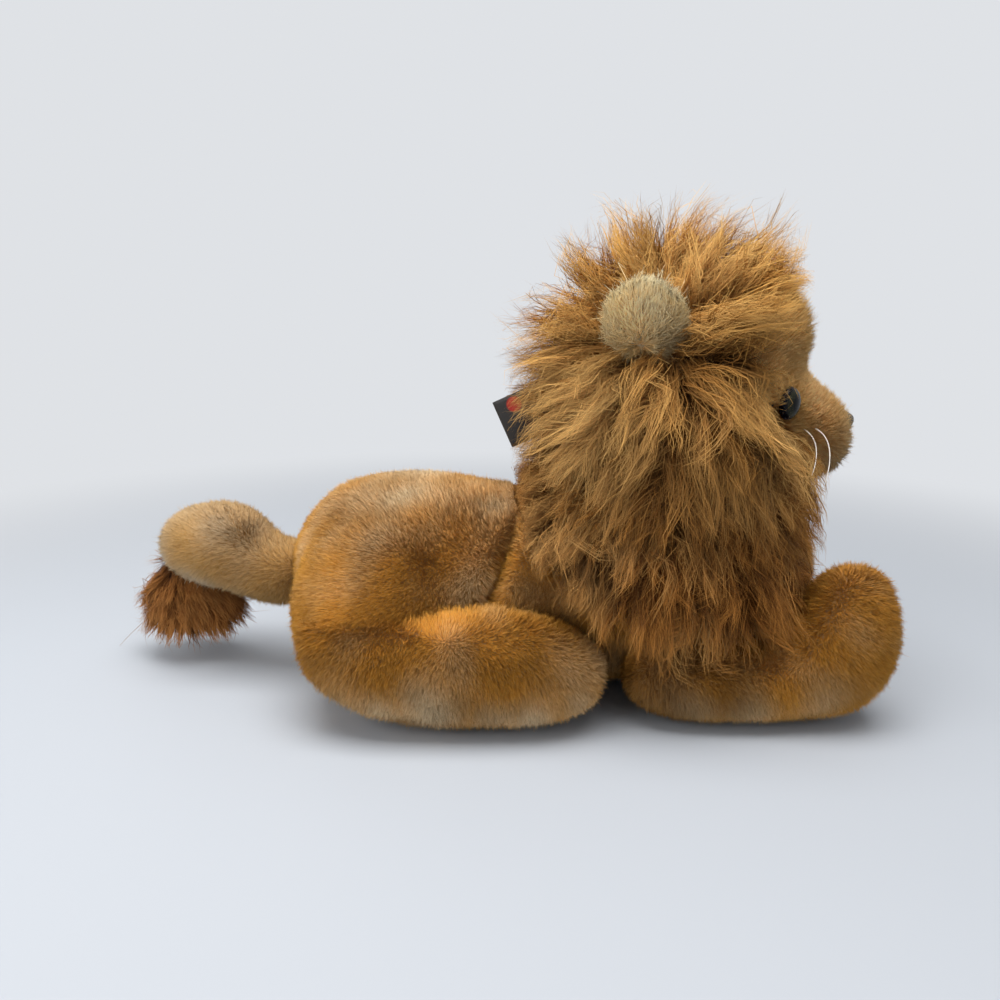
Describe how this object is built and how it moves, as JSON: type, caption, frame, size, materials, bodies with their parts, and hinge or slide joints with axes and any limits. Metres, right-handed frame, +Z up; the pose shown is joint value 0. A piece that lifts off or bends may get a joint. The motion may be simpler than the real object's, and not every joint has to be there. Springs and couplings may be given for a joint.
{
  "type": "plush lion",
  "caption": "Plush lion lying on its belly with a long-pile mane, cupped ears, safety eyes, jointed head, legs and a tufted tail.",
  "frame": {"origin": "on the surface the toy rests on, at the middle of the belly's flat patch", "axes": "+X forward toward the nose, +Y toward the toy's left, +Z up"},
  "size_m": [0.3226, 0.1336, 0.1996],
  "materials": {
    "gold_plush": "short dense pile, matte",
    "mane_pile": "long soft pile, slight sheen",
    "cream_pile": "medium pile, matte",
    "tuft_pile": "long soft pile, matte",
    "polyester_filling": "loose fibre, matte",
    "eye_lens": "clear, polished",
    "eye_backing": "gloss",
    "nose": "satin",
    "whisker_nylon": "clear filament",
    "lock_washer": "matte",
    "tag_ribbon": "woven ribbon, plain"
  },
  "bodies": {
    "torso": {"torso_skin": "gold_plush", "torso_stuffing": "polyester_filling", "mane_ruff": "mane_pile"},
    "head": {"head_skin": "gold_plush", "head_stuffing": "polyester_filling", "mane_crown": "mane_pile", "eye_lens_right": "eye_lens", "eye_post_right": "eye_backing", "eye_washer_right": "lock_washer", "eye_lens_left": "eye_lens", "eye_post_left": "eye_backing", "eye_washer_left": "lock_washer", "nose": "nose", "nose_washer": "lock_washer", "whisker_front_right": "whisker_nylon", "whisker_rear_right": "whisker_nylon", "whisker_front_left": "whisker_nylon", "whisker_rear_left": "whisker_nylon", "neck_tag": "tag_ribbon"},
    "ear_right": {"ear_front_right": "cream_pile", "ear_back_right": "gold_plush"},
    "ear_left": {"ear_front_left": "cream_pile", "ear_back_left": "gold_plush"},
    "hind_leg_right": {"hind_leg_skin_right": "gold_plush", "hind_leg_stuffing_right": "polyester_filling"},
    "hind_leg_left": {"hind_leg_skin_left": "gold_plush", "hind_leg_stuffing_left": "polyester_filling"},
    "front_leg_right": {"front_leg_skin_right": "gold_plush", "front_leg_stuffing_right": "polyester_filling"},
    "front_leg_left": {"front_leg_skin_left": "gold_plush", "front_leg_stuffing_left": "polyester_filling"},
    "tail": {"tail_skin": "gold_plush", "tail_stuffing": "polyester_filling", "tail_tuft": "tuft_pile"}
  },
  "joints": [
    {"name": "head_turn", "type": "hinge", "parent": "torso", "child": "head", "pos_m": [0.0848, 0, 0.0855], "axis": [0.2079, 0, 0.9781], "range_deg": [-12, 12], "stiffness_Nm_per_rad": 0.6},
    {"name": "ear_flex_right", "type": "hinge", "parent": "head", "child": "ear_right", "pos_m": [0.05388, -0.03776, 0.14713], "axis": [0.9192, -0.2977, 0.2576], "range_deg": [-15, 15], "stiffness_Nm_per_rad": 0.01},
    {"name": "ear_flex_left", "type": "hinge", "parent": "head", "child": "ear_left", "pos_m": [0.05389, 0.03774, 0.14714], "axis": [0.9194, 0.2969, 0.2581], "range_deg": [-15, 15], "stiffness_Nm_per_rad": 0.01},
    {"name": "hind_leg_splay_right", "type": "hinge", "parent": "torso", "child": "hind_leg_right", "pos_m": [-0.08215, -0.0306, 0], "axis": [0, 0, -1], "range_deg": [0, 20], "stiffness_Nm_per_rad": 0.1},
    {"name": "hind_leg_splay_left", "type": "hinge", "parent": "torso", "child": "hind_leg_left", "pos_m": [-0.08215, 0.0306, 0], "axis": [0, 0, 1], "range_deg": [0, 20], "stiffness_Nm_per_rad": 0.1},
    {"name": "front_leg_splay_right", "type": "hinge", "parent": "torso", "child": "front_leg_right", "pos_m": [0.04595, -0.03621, 0], "axis": [0, 0, -1], "range_deg": [0, 10], "stiffness_Nm_per_rad": 0.1},
    {"name": "front_leg_splay_left", "type": "hinge", "parent": "torso", "child": "front_leg_left", "pos_m": [0.04595, 0.03621, 0], "axis": [0, 0, 1], "range_deg": [0, 10], "stiffness_Nm_per_rad": 0.1},
    {"name": "tail_wag", "type": "hinge", "parent": "torso", "child": "tail", "pos_m": [-0.09265, 0, 0.04797], "axis": [0, 0, 1], "range_deg": [-20, 20], "stiffness_Nm_per_rad": 0.05}
  ]
}
